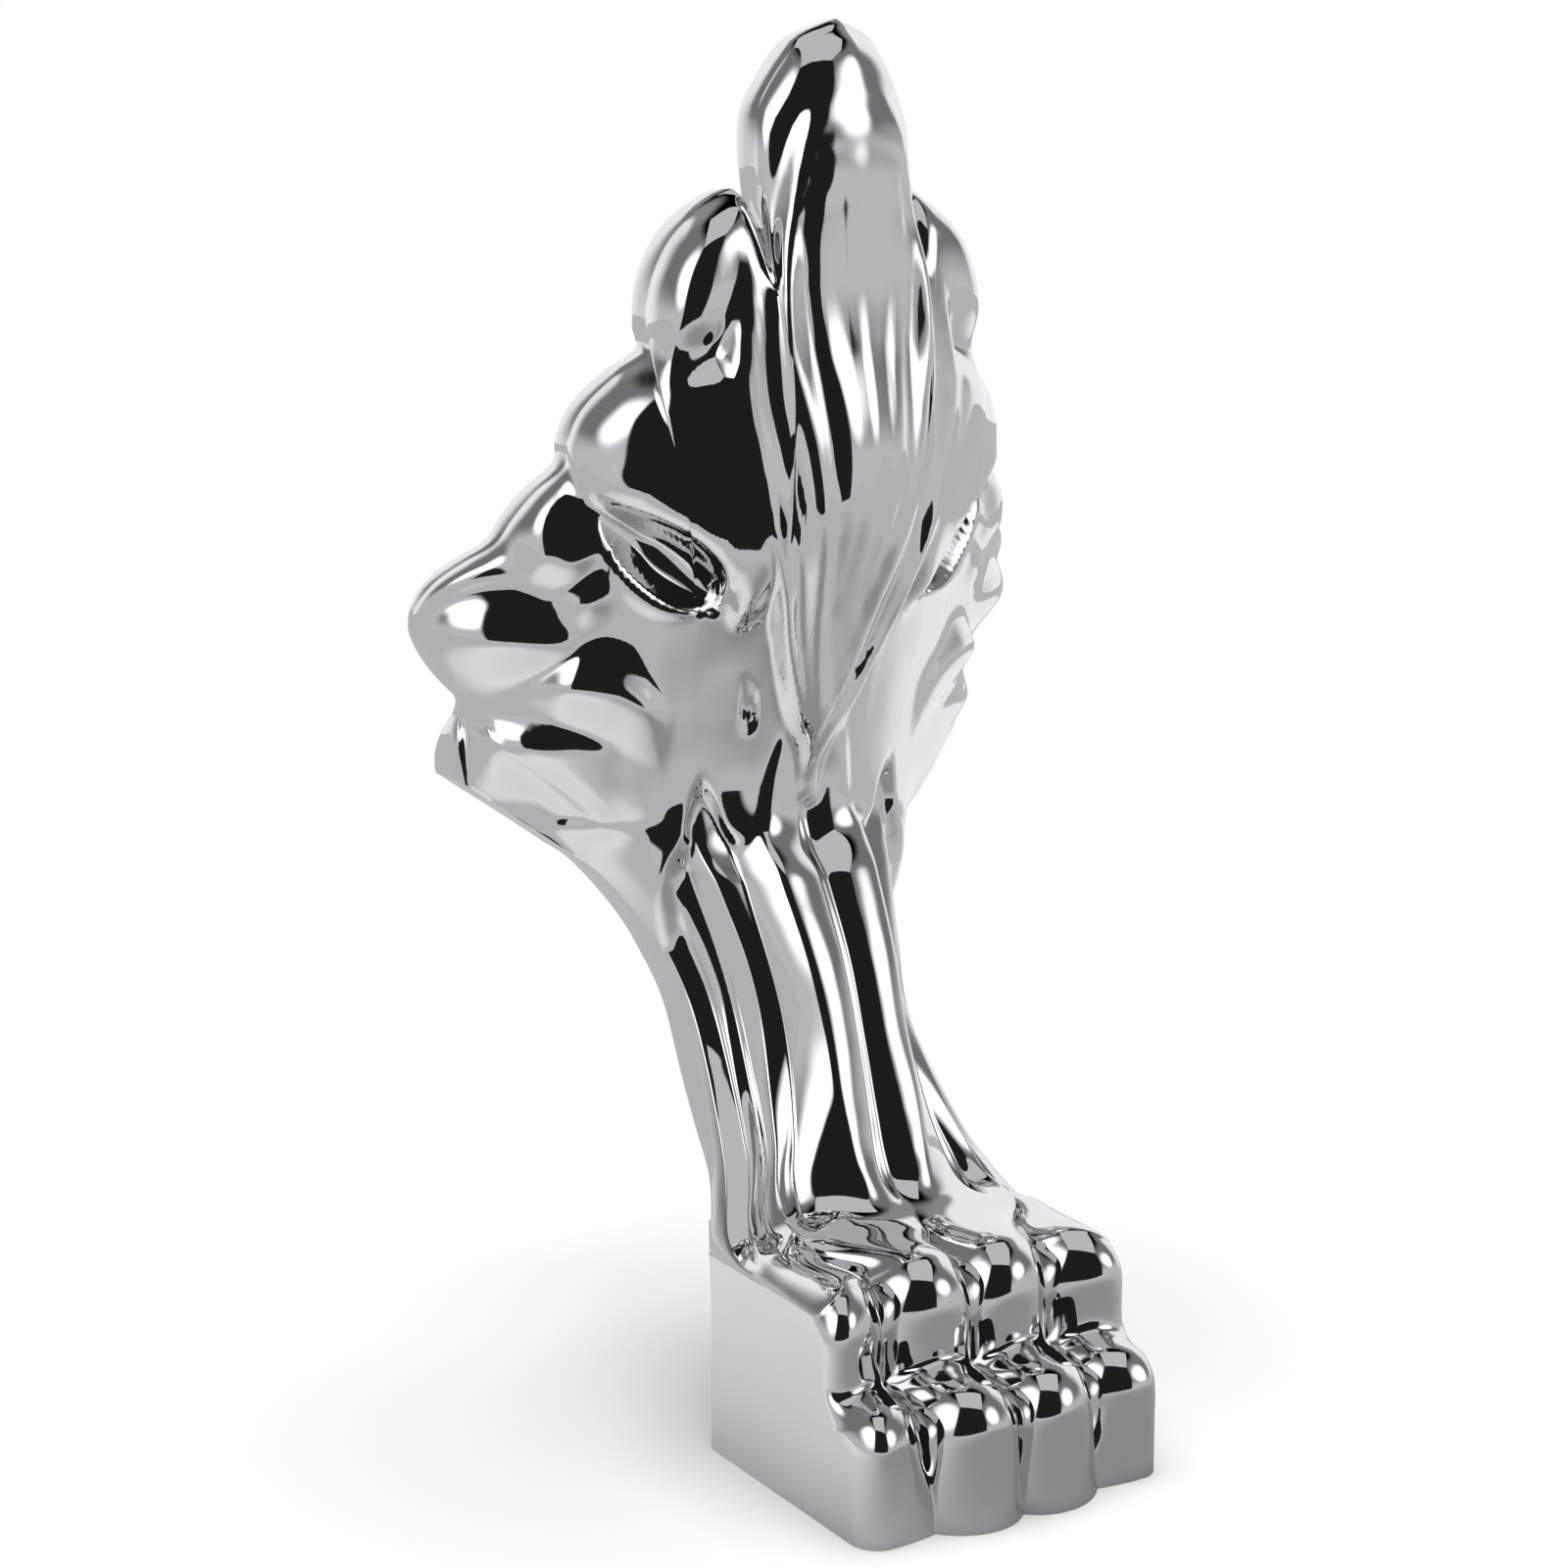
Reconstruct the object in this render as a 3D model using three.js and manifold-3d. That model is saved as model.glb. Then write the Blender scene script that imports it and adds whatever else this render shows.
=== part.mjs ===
// Bathtub claw foot: one chromed casting, millimetres, +Z up.
// The paw's sole lies on Z = 0 with the origin at its middle, the toes point to -Y,
// and the leaf shield that hugs the tub leans back to +Y.
import * as THREE from 'three';
import { mergeVertices } from 'three/addons/utils/BufferGeometryUtils.js';
import Module from 'manifold-3d';

const wasm = await Module();
wasm.setup();

const { lerp, clamp, smoothstep } = THREE.MathUtils;

// Paw: pairs are for the inner and the outer toe, triples run across the clefts
const pawHalfWidth = 34.6;
const pawBackY = 33;
const pawEdge = 5;
const pawEdgeShare = 0.8;
const toeCleftX = 18.8;
const toeCrownY = [-29.4, -25.3];
const toeCleftY = [-26, -24.3, -24.8];
const domeCleftY = [-22.5, -20.3, -24];
const toeTopZ = [27.5, 26.2];
const toeDrop = 5;
const toeRound = 9;
const toeSideBack = 5.2;
const knuckleWallY = [-13.2, -12.7];
const knuckleCleftY = [-8.2, -6.2, -12.4];
const knuckleSideBack = 2.8;
const knuckleTopZ = [47.5, 45.5];
const knuckleDrop = 5;
const knuckleRound = 9;
const sideRound = 6;
const sideCreaseZ = 26;
const footRiseZ = 9;

// Leg
const tendonMiddleDepth = 2.6;
const lowDepth = 1.5;

// Leaf shield
const tipZ = 275.6;
const wingHalfWidth = 71.2;
const sweepDepth = 45;
const sweepPower = 1.73;
const bellyHalfWidth = 48;
const rimRound = 8;
const rimDrop = 5;
const leafRaise = 2;
const strandHeights = [2.2, 2.6, 3.2, 3.2];
const foldSlope = 0.5;
const eyeHalfWidth = 5.6;
const eyeDepth = 5;
const eyeRim = 1.2;

// Tub side
const backSweep = 0.9;
const padWidth = 34;
const padHeight = 40;
const padDepth = 16;
const padZ = 190;
const padY = 62;

// Mesh steps
const columnSteps = 94;
const farY = 170;

// A value read off a list of [place, value] stops, eased between them
function stops(list, place) {
  if (place <= list[0][0]) return list[0][1];
  for (let i = 1; i < list.length; i++) {
    const [x1, y1] = list[i];
    if (place <= x1) {
      const [x0, y0] = list[i - 1];
      const before = list[Math.max(i - 2, 0)];
      const after = list[Math.min(i + 1, list.length - 1)];
      const slope0 = (y1 - before[1]) / (x1 - before[0]);
      const slope1 = (after[1] - y0) / (after[0] - x0);
      const span = x1 - x0;
      const f = (place - x0) / span;
      const f2 = f * f;
      const f3 = f2 * f;
      return y0 * (2 * f3 - 3 * f2 + 1) + y1 * (3 * f2 - 2 * f3)
        + span * (slope0 * (f3 - 2 * f2 + f) + slope1 * (f3 - f2));
    }
  }
  return list[list.length - 1][1];
}

const radians = (degrees) => degrees * Math.PI / 180;

// How far a round front falls back at a share across it: an arc with that depth
function fallen(s, halfWidth, depth) {
  const radius = (halfWidth ** 2 + depth ** 2) / (2 * depth);
  return radius - Math.sqrt(radius ** 2 - (halfWidth * s) ** 2);
}

// Twelve places up over one toe and its knuckle, at a place across
function pawStations(u) {
  const turn = clamp((u - pawEdgeShare) / (1 - pawEdgeShare), 0, 1) * Math.PI / 2;
  const x = (pawHalfWidth - pawEdge) * Math.min(u / pawEdgeShare, 1) + pawEdge * Math.sin(turn);
  const back = 1 - Math.cos(turn);
  const toe = x < toeCleftX ? 0 : 1;
  const half = (toe === 0 ? toeCleftX : pawHalfWidth - toeCleftX) / 2;
  const s = (x - toe * toeCleftX) / half - 1;

  function front(crowns, clefts, sideBack) {
    const low = clefts[toe];
    const high = clefts[toe + 1];
    const depth = Math.max((low + high) / 2 - crowns[toe], 0.3);
    return lerp(low, high, (s + 1) / 2) - depth + fallen(s, half, depth) + sideBack * back;
  }

  function dome(y, z, radius, degrees) {
    const a = radians(degrees);
    return [x, y + radius * (1 - Math.cos(a)), z - radius * (1 - Math.sin(a))];
  }

  const outer = smoothstep(u, pawEdgeShare - 0.12, 1);
  const foot = front(toeCrownY, toeCleftY, toeSideBack);
  const face = front(toeCrownY, domeCleftY, toeSideBack);
  const wall = front(knuckleWallY, knuckleCleftY, knuckleSideBack);
  const top = toeTopZ[toe] - fallen(s, half, toeDrop);
  const knuckle = knuckleTopZ[toe] - fallen(s, half, knuckleDrop);
  const crease = lerp(top + 0.8, sideCreaseZ, outer);
  const low = lerp(toeRound, sideRound, outer);
  const high = lerp(knuckleRound, sideRound, outer);
  return [
    [x, foot, 0],
    [x, (foot + face) / 2, footRiseZ],
    ...[0, 30, 60, 90].map((degrees) => dome(face, top, low, degrees)),
    [x, wall - 0.8, crease],
    [x, wall, crease + 3],
    ...[0, 30, 60, 90].map((degrees) => dome(wall, knuckle, high, degrees)),
  ];
}

// Front line of the leg as [height, y], and its side line as [x, y, height], which
// goes on up the shield's lower edge
const legFront = [[48.8, 12], [56, 18.8], [66, 22.5], [80, 27], [95, 32.5], [110, 41], [123, 49.5]];
const sideLine = [
  [34.5, 14, 40.5], [33.5, 27, 44], [28, 37, 57], [24.5, 53, 79], [26.5, 61, 92],
  [31, 68, 102], [36.5, 73, 109.5], [42.5, 75, 114.5], [48.5, 77, 118.5], [54.5, 80, 122.5],
  [59.5, 84, 127.5],
];

function legStation(u, index) {
  const [z, y] = legFront[index];
  const [sideX, sideY, sideZ] = sideLine[index];
  const angle = u * Math.PI / 2;
  return [sideX * Math.sin(angle), y + (sideY - y) * (1 - Math.cos(angle)), lerp(z, sideZ, u ** 2.5)];
}

// Outline of the shield from its tip down to its hem, as [place across, x, height]
const outline = [
  [0, 0, tipZ], [0.05, 8, 272], [0.09, 12.9, 265.5], [0.125, 16, 258.8], [0.165, 16.4, 250],
  [0.2, 15.9, 242.5], [0.225, 15.4, 236.5], [0.245, 17.4, 240], [0.27, 20.6, 244.3],
  [0.3, 26.3, 241.8], [0.335, 31.8, 236.5], [0.365, 35, 230], [0.395, 36.6, 223], [0.415, 36.9, 218],
  [0.43, 36.4, 214.5], [0.46, 41.9, 210], [0.49, 46.8, 204], [0.52, 49.2, 197.5], [0.54, 49.8, 192.8],
  [0.565, 54, 188], [0.59, 57.5, 182.5], [0.615, 60.2, 177.5], [0.65, 64.9, 173.4],
  [0.685, 69, 169], [0.71, wingHalfWidth, 164.5], [0.73, wingHalfWidth + 0.6, 160],
  [0.76, 70, 155], [0.79, 66.6, 149.5], [0.84, 62.6, 144.5], [0.92, 61, 136], [1, 59.5, 127.5],
];

function outlineAt(u) {
  return [stops(outline.map((o) => [o[0], o[1]]), u), stops(outline.map((o) => [o[0], o[2]]), u)];
}

// The shield's middle line seen from the side, where it bellies forward over the throat,
// and the plainer line of its sides
const middleLine = [
  [118, 47.5], [132.6, 46.3], [147, 45], [166, 40.5], [176, 35.5], [188, 31], [200, 29.6],
  [214, 33.5], [231, 39.5], [250, 41.5], [262, 41.5], [tipZ, 40.5],
];
const shieldSideLine = [[118, 44], [150, 41], [172, 36.5], [205, 35.5], [tipZ, 36.5]];
const hemSpread = 9;
const hemHalfWidth = 60;

const swept = (x) => sweepDepth * (Math.abs(x) / wingHalfWidth) ** sweepPower;

// How far back the bare shield's front lies at a point seen from the front
function shieldFront(x, z) {
  const across = Math.cos(clamp(Math.abs(x) / bellyHalfWidth, 0, 1) * Math.PI / 2) ** 2;
  const hem = hemSpread * (1 - smoothstep(z, 132, 168)) * (x / hemHalfWidth) ** 2;
  return lerp(stops(shieldSideLine, z), stops(middleLine, z), across) + swept(x) + hem;
}

// Stations up the shield along one line of flow, from the throat to the rim
function shieldStations(u) {
  const [tx, , tz] = legStation(u, legFront.length - 1);
  const [ox, oz] = outlineAt(u);
  const cx = lerp(tx, ox, lerp(0.3, 0.5, u));
  const cz = lerp(tz, oz, lerp(0.5, 0.62, Math.sin(u * Math.PI) ** 2));
  return [0.22, 0.45, 0.7, 1].map((f, number) => {
    const x = (1 - f) ** 2 * tx + 2 * f * (1 - f) * cx + f * f * ox;
    const z = (1 - f) ** 2 * tz + 2 * f * (1 - f) * cz + f * f * oz;
    const sideY = sideLine[legFront.length + number][1];
    return [x, lerp(shieldFront(x, z), sideY, smoothstep(u, 0.72, 1)), z];
  });
}

// One whole line of flow over toe, knuckle, leg and shield
function flowLine(u) {
  const points = [...pawStations(u), ...legFront.map((_, i) => legStation(u, i)), ...shieldStations(u)];
  return new THREE.CatmullRomCurve3(points.map((p) => new THREE.Vector3(...p)), false, 'catmullrom', 0.5);
}

// Steps of the mesh between one station and the next. Rows are counted from the leg's
// foot, which is row 10 in the lists below
const rowSteps = [1, 1, 1, 1, 1, 1, 1, 1, 1, 1, 1, 1, 1, 1, 2, 2, 2, 3, 5, 6, 7, 9];
const pawRows = 12;
const legRow = 10;
const plainRows = rowSteps.slice(0, pawRows).reduce((sum, n) => sum + n, 0);
const rows = [];
rowSteps.forEach((n, i) => {
  for (let k = 0; k < n; k++) rows.push(i + k / n);
});
rows.push(rowSteps.length);

// Place across of each column, from -1 to 1, closest together over the eye and the lobes
function acrossAt(column) {
  const even = 2 * column / columnSteps - 1;
  return even + 0.05 * Math.sin(2 * Math.PI * even);
}

const front = [];
for (let c = 0; c <= columnSteps; c++) {
  const u = acrossAt(c);
  const line = flowLine(Math.abs(u));
  front.push(rows.map((r) => {
    const p = line.getPoint(r / rowSteps.length);
    if (u < 0) p.x = -p.x;
    return p;
  }));
}

// The leg's tendons: each has a front and a flat flank, and meets the next in a groove.
// Places across of the edge between them by row and its height, then the groove and its depth
const tendons = [
  [[[10, 0.12], [10.8, 0.14], [12.5, 0.223], [14, 0.233], [16, 0.2], [16.4, 0.15]], 1.1,
    [[10, 0.4], [10.8, 0.41], [12.5, 0.46], [14, 0.44], [16, 0.304], [16.4, 0.26]], 4.2],
  [[[10, 0.5], [10.8, 0.51], [12.5, 0.59], [14, 0.547], [16, 0.453], [16.4, 0.42]], -2.6,
    [[10, 0.66], [10.8, 0.67], [12.5, 0.79], [14, 0.74], [16, 0.56], [16.4, 0.5]], 5],
  [[[10, 0.78], [12.5, 0.87], [14, 0.83], [15, 0.74], [16, 0.66]], -3.4,
    [[10, 0.88], [12.5, 0.93], [14, 0.9], [15, 0.82], [16, 0.74]], 3.8],
];

function tendonHeight(row, place) {
  let inner = 0;
  let innerDepth = tendonMiddleDepth;
  for (const [number, [edges, rise, grooves, grooveDepth]] of tendons.entries()) {
    const edge = stops(edges, row);
    const groove = stops(grooves, row);
    const depth = grooveDepth * lerp(lowDepth, 1, smoothstep(row, 11.5, 13.5));
    if (place < edge) {
      const share = (edge - place) / (edge - inner);
      return lerp(rise, -innerDepth, share ** (number === 0 ? 2 : 1.2));
    }
    if (place < groove) return lerp(rise, -depth, (place - edge) / (groove - edge));
    inner = groove;
    innerDepth = depth;
  }
  return -innerDepth * (1 - (place - inner) / (1 - inner));
}

// The shield's hem over the leg: the row it lies at, by place across
const hemLine = [
  [0, 16.3], [0.05, 16.3], [0.1, 16.5], [0.15, 16.3], [0.19, 15.85], [0.25, 15.7], [0.32, 15.75],
  [0.36, 16.1], [0.41, 16.25], [0.46, 16.05], [0.51, 15.75], [0.7, 15.2], [0.85, 14.6], [1, 14],
];

// Lines between the middle leaf's strands and along its edge, as x by height
const leafLines = [
  [[134, 0.2], [160, 1.2], [176, 2], [188, 2.5], [206, 3], [224, 4.5], [240, 4.6], [256, 2.5], [264, 1]],
  [[134, 0.6], [160, 3], [176, 5], [188, 6.5], [206, 8.3], [224, 10], [240, 9.5], [256, 6], [264, 3]],
  [[134, 1.2], [160, 7], [176, 10.5], [188, 13], [206, 15.2], [224, 16], [240, 13.5], [256, 10], [264, 6]],
  [[134, 2], [142, 6], [160, 12], [176, 16], [190, 18.8], [200, 21], [206, 22.2], [212, 22.4],
    [220.5, 20.4], [226, 18.2], [232, 17.6], [244, 19], [264, 20]],
];
const leafBulge = [[150, 0], [178, 1], [205, 4], [232, 5.5], [255, 5.5], [268, 3.5], [tipZ, 0]];

// The middle leaf stands out over the lobes beside it
function leafHeight(x, z) {
  const edge = stops(leafLines[leafLines.length - 1], z);
  if (x >= edge) return 0;
  let inner = -stops(leafLines[0], z);
  let height = 0;
  for (const [number, line] of leafLines.entries()) {
    const outer = stops(line, z);
    if (x < outer) {
      const s = (x - inner) / (outer - inner);
      const last = number === leafLines.length - 1;
      height = strandHeights[number] * (last ? s ** 1.3 : Math.sin(Math.PI * s) ** 0.8);
      break;
    }
    inner = outer;
  }
  const carved = (1 - smoothstep(z, 252, 266)) * smoothstep(z, 132, 146);
  return leafRaise + stops(leafBulge, z) * (1 - (x / edge) ** 2) + height * carved;
}

// Domed lobes beside the leaf: each one's closed line as [x, height, reach of the round
// edge from there to the next point], and how far the lobe stands out
const domes = [
  [[[19.5, 245, 9], [15, 237, 9], [16.6, 231, 9], [17.8, 226, 9], [20.2, 220.5, 9], [24.3, 215.5, 9],
    [29, 213, 9], [33, 211.5, 9], [36.6, 214.4, 9], [38, 219, 9], [37.5, 226, 9], [34, 235, 9],
    [27.5, 243, 9]], 7.5],
  [[[36.6, 214.4, 8], [33, 211.5, 8], [29, 212.5, 8], [24.5, 214.5, 8], [22.4, 212, 5], [22.3, 206, 5],
    [21, 200, 5], [18.8, 192, 5], [16.5, 182, 4], [14.5, 170, 3], [18.5, 160, 3], [22, 168, 3],
    [25.5, 175, 3], [31, 180, 3], [38, 184, 3], [45, 187, 3], [47, 186.6, 5], [50.2, 191.5, 14],
    [51.5, 198.5, 14], [47, 206, 14], [41, 211.5, 14]], 6.5],
  [[[50.2, 191.5, 8], [47.8, 186.6, 8], [46, 182, 8], [44.6, 178, 4], [44.1, 171.5, 3], [49.1, 170.6, 3],
    [53.4, 171.5, 3], [56, 174.5, 4], [58.8, 176.8, 10], [60, 180, 10], [56, 187, 10]], 5],
  [[[58.8, 176.2, 5], [56.5, 173.5, 5], [53.4, 170.6, 5], [57.3, 168.8, 5], [60, 168.4, 5], [64, 166, 5],
    [66.4, 163.5, 5], [69.8, 161.5, 5], [72, 166, 5], [66, 174, 5]], 2.6],
];

// How far inside a closed line a place lies, in shares of its edges' reach, 0 outside
function closedShare(x, z, line) {
  let nearest = Infinity;
  let within = false;
  for (let i = 0; i < line.length; i++) {
    const [ax, az, reach] = line[i];
    const [bx, bz] = line[(i + 1) % line.length];
    const dx = bx - ax;
    const dz = bz - az;
    const f = clamp(((x - ax) * dx + (z - az) * dz) / (dx * dx + dz * dz), 0, 1);
    nearest = Math.min(nearest, Math.hypot(x - ax - f * dx, z - az - f * dz) / reach);
    if ((az > z) !== (bz > z) && x < ax + (z - az) * dx / dz) within = !within;
  }
  return within ? Math.min(nearest, 1) : 0;
}

// Folds of the wing: each steps out from its upper line to its lower line, both as
// [x, height], and falls back below that over a length
const folds = [
  [[[41, 164.8], [42.8, 167.7], [44, 170.6], [50, 170.1]],
    [[41, 164.8], [44.8, 166.1], [47.8, 168.1], [50, 170.1]], 5],
  [[[46.5, 158.5], [50, 160.8], [53.1, 163.4], [57, 166], [61.6, 166], [65.9, 163.6], [69, 160.5]],
    [[46.5, 158.2], [53.4, 158.3], [57.7, 158.8], [61.4, 158.9], [65.4, 158.8], [69, 160.3]], 11],
  [[[28.7, 142.1], [31.9, 147.7], [35.3, 152.2], [39.3, 156.4], [43.1, 157.6], [46.1, 157],
    [49, 153.5], [56, 148.4], [60, 146]],
  [[28.7, 142], [34.1, 145.6], [38.3, 148], [44.8, 149.1], [51.5, 148.4], [56.7, 146.6], [60, 145.8]], 12],
  [[[39.3, 136.3], [42.9, 139.4], [45.9, 141], [50, 141.8], [53.3, 141.9], [56.9, 141.2], [59, 139.6]],
    [[39.3, 136.2], [42.7, 137.2], [45.9, 137.3], [49.7, 137.1], [52.7, 137], [54.9, 137], [59, 138.4]], 12],
];

function foldHeight(x, z) {
  let height = 0;
  for (const [upper, lower, fall] of folds) {
    if (x <= upper[0][0] || x >= upper[upper.length - 1][0]) continue;
    const high = stops(upper, x);
    const low = stops(lower, x);
    const rise = foldSlope * Math.max(high - low, 0);
    const share = z > low ? (high - z) / Math.max(high - low, 0.3) : 1 - (low - z) / fall;
    height = Math.max(height, rise * clamp(share, 0, 1));
  }
  return height;
}

// The pointed eye in the leaf beside the middle: its point and its round end
const eyePoint = [44.6, 185.4];
const eyeEnd = [22.8, 164.6];

function eye(x, z) {
  const length = Math.hypot(eyeEnd[0] - eyePoint[0], eyeEnd[1] - eyePoint[1]);
  const ax = (eyeEnd[0] - eyePoint[0]) / length;
  const az = (eyeEnd[1] - eyePoint[1]) / length;
  const a = ((x - eyePoint[0]) * ax + (z - eyePoint[1]) * az) / length;
  const b = Math.abs((x - eyePoint[0]) * az - (z - eyePoint[1]) * ax);
  if (a <= -0.08 || a >= 1.1) return 0;
  const inside = clamp(a, 0.01, 0.995);
  const wide = eyeHalfWidth * 2.6 * inside * Math.sqrt(1 - inside);
  const s = b / Math.max(wide, 0.4) + Math.max(a - 1, 0) * 8;
  if (s < 1) return -eyeDepth * (1 - s * s) ** 0.8 * smoothstep(a, 0, 0.5);
  const rim = Math.max(1 - ((s - 1.25) / 0.55) ** 2, 0) ** 2;
  return eyeRim * rim * smoothstep(a, 0, 0.3);
}

// The rim is rounded over all along the outline
const rimLine = [];
for (let i = 0; i <= 80; i++) rimLine.push([...outlineAt(i / 80), rimRound]);
for (const [x, z] of [[0, 100], [-60, 100], [-60, 400], [0, 400]]) rimLine.push([x, z, rimRound]);

function rimFall(x, z) {
  const share = closedShare(x, z, rimLine);
  return rimDrop * (1 - Math.sqrt(1 - (1 - share) ** 2));
}

// Height of the carving over the bare skin, at a place across, a row, and seen from the front
function carving(u, row, x, z) {
  const hem = stops(hemLine, u);
  const under = (1 - smoothstep(row, hem - 0.1, hem + 0.12)) * smoothstep(row, 9.9, 10.8);
  let height = under > 0 ? under * tendonHeight(row, u) : 0;
  if (row > 16) {
    height += leafHeight(x, z) + foldHeight(x, z) + eye(x, z);
    for (const [line, stand] of domes) height += stand * (1 - (1 - closedShare(x, z, line)) ** 2);
    height -= rimFall(x, z) * (1 - smoothstep(u, 0.84, 0.95));
  }
  return height * (1 - smoothstep(u, 0.97, 1));
}

// The carved front skin: the bare skin moved out along its normals on the leg, and
// square to the shield's sweep above it
function carvedFront() {
  const last = [front.length - 1, rows.length - 1];
  return front.map((line, c) => line.map((p, r) => {
    const row = rows[r] - pawRows + legRow;
    const across = front[Math.min(c + 1, last[0])][r].clone().sub(front[Math.max(c - 1, 0)][r]);
    const up = line[Math.min(r + 1, last[1])].clone().sub(line[Math.max(r - 1, 0)]);
    const normal = across.cross(up).normalize();
    const share = Math.abs(p.x) / wingHalfWidth;
    const slope = Math.sign(p.x) * sweepDepth * sweepPower / wingHalfWidth * share ** (sweepPower - 1);
    const forward = new THREE.Vector3(slope, -1, 0).normalize();
    const direction = normal.lerp(forward, smoothstep(row, 15.8, 16.6));
    const height = carving(Math.abs(acrossAt(c)), row, Math.abs(p.x), p.z);
    return p.clone().addScaledVector(direction, height);
  }));
}

// The casting before its back is hollowed: the front skin, drawn straight back
function casting() {
  const skin = carvedFront();
  const shape = new THREE.BoxGeometry(2, 1, 1, columnSteps, rows.length - 1, 1);
  const position = shape.getAttribute('position');
  for (let i = 0; i < position.count; i++) {
    const c = Math.round((position.getX(i) + 1) / 2 * columnSteps);
    const r = Math.round((position.getY(i) + 0.5) * (rows.length - 1));
    if (position.getZ(i) > 0) {
      position.setXYZ(i, ...skin[c][r].toArray());
    } else {
      const p = front[c][r];
      const plainZ = lerp(0, front[c][plainRows].z, Math.min(r / plainRows, 1));
      position.setXYZ(i, p.x, farY, r < plainRows ? plainZ : p.z);
    }
  }
  return shape;
}

// The plain back, by height: flat down the leg, hollowed behind the shield to clear the tub
const backLine = [
  [-10, pawBackY], [36, pawBackY], [44, 35], [52, 41.5], [60, 51], [70, 60.5], [82, 69],
  [95, 77.5], [108, 83], [120, 77], [135, 66], [150, 57], [165, 52], [185, 50], [205, 48.5],
  [230, 48.5], [300, 48.5],
];

const backAt = (x, z) => stops(backLine, z) + backSweep * swept(x) * smoothstep(z, 96, 132);

function backCutter() {
  const wide = 180;
  const tall = 320;
  const below = 20;
  const shape = new THREE.BoxGeometry(wide, tall, 1, 18, 40, 1);
  const position = shape.getAttribute('position');
  for (let i = 0; i < position.count; i++) {
    const x = position.getX(i);
    const z = position.getY(i) + tall / 2 - below;
    position.setXYZ(i, x, position.getZ(i) > 0 ? backAt(x, z) : farY + below, z);
  }
  return shape;
}

function solidOf(geometry) {
  const bare = geometry.clone();
  bare.deleteAttribute('normal');
  bare.deleteAttribute('uv');
  const merged = mergeVertices(bare, 1e-4);
  const mesh = new wasm.Mesh({
    numProp: 3,
    vertProperties: new Float32Array(merged.getAttribute('position').array),
    triVerts: new Uint32Array(merged.getIndex().array),
  });
  return new wasm.Manifold(mesh);
}

function geometryOf(solid) {
  const mesh = solid.getMesh();
  const geometry = new THREE.BufferGeometry();
  geometry.setAttribute('position', new THREE.BufferAttribute(mesh.vertProperties, 3));
  geometry.setIndex(new THREE.BufferAttribute(mesh.triVerts, 1));
  geometry.computeVertexNormals();
  return geometry;
}

// A flat face on the back, where the foot is screwed up against the tub
function tubPad() {
  const pad = new THREE.BoxGeometry(padWidth, padDepth, padHeight);
  pad.translate(0, padY - padDepth / 2, padZ);
  return pad;
}

const clawFoot = solidOf(casting()).subtract(solidOf(backCutter())).add(solidOf(tubPad()));

const chrome = new THREE.MeshStandardMaterial({ color: '#d6d8da', metalness: 1, roughness: 0.05 });
const foot = new THREE.Mesh(geometryOf(clawFoot), chrome);
foot.name = 'claw_foot';

const group = new THREE.Group();
group.add(foot);

export default group;
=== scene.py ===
import math

import bmesh
import bpy
import numpy as np
from mathutils import Matrix, Vector


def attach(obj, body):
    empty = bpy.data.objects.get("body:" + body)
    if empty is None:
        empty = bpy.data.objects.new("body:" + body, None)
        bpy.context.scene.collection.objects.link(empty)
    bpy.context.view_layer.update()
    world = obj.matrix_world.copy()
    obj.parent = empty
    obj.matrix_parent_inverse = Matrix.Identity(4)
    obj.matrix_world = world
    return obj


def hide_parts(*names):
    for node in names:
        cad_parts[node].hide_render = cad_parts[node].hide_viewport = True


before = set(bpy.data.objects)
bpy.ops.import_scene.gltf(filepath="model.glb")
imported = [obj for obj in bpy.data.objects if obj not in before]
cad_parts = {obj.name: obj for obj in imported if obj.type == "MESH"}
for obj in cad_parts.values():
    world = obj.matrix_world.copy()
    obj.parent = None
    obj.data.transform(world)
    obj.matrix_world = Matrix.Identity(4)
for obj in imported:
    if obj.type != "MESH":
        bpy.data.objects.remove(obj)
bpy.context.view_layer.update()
scene = bpy.context.scene
scene.view_settings.view_transform = "Standard"

# Camera: to the foot's right and a little above it, as in a catalogue picture.
# The frame is 1600 pixels square, and the lens spans them at 3187 pixels to the radian.
photo_pixels = 1600
focal_pixels = 3187
camera_place = (-0.3277, -0.4667, 0.2548)
camera_down = 11.8
camera_turn = 31.93
sensor_width = 36

camera_data = bpy.data.cameras.new("camera")
camera_data.sensor_width = sensor_width
camera_data.lens = sensor_width * focal_pixels / photo_pixels
camera = bpy.data.objects.new("camera", camera_data)
camera.location = camera_place
camera.rotation_euler = (math.radians(90 - camera_down), 0, math.radians(-camera_turn))
scene.collection.objects.link(camera)
scene.camera = camera


# Casting: one piece of metal poured whole, ground smooth and chrome plated.
# Its front skin is one sheet of lines that run up over a toe, a knuckle, the leg and
# the leaf shield. Sizes here are millimetres, in the same frame as the model.
MM = 0.001

# The paw: four toes, each with a knuckle above it. A pair of values is for the inner and
# the outer toe, and three are for the clefts at the middle, between them and at the side
paw_half_width = 34.6
paw_edge = 5
paw_edge_share = 0.8
paw_side_share = 0.68
toe_cleft_x = 18.8
toe_crown_y = (-29.4, -25.3)
toe_cleft_y = (-26, -24.3, -24.8)
dome_cleft_y = (-22.5, -20.3, -24)
toe_band_z = 9
toe_top_z = (27.5, 26.2)
toe_drop = 5
toe_round = 9
toe_side_back = 5.2
least_bulge = 0.3
side_round = 6
crease_rise = 0.8
crease_depth = 0.8
crease_reach = 3
side_crease_z = 26
knuckle_wall_y = (-13.2, -12.7)
knuckle_cleft_y = (-8.2, -6.2, -12.4)
knuckle_side_back = 2.8
knuckle_top_z = (47.5, 45.5)
knuckle_lift = 0.3
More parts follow.
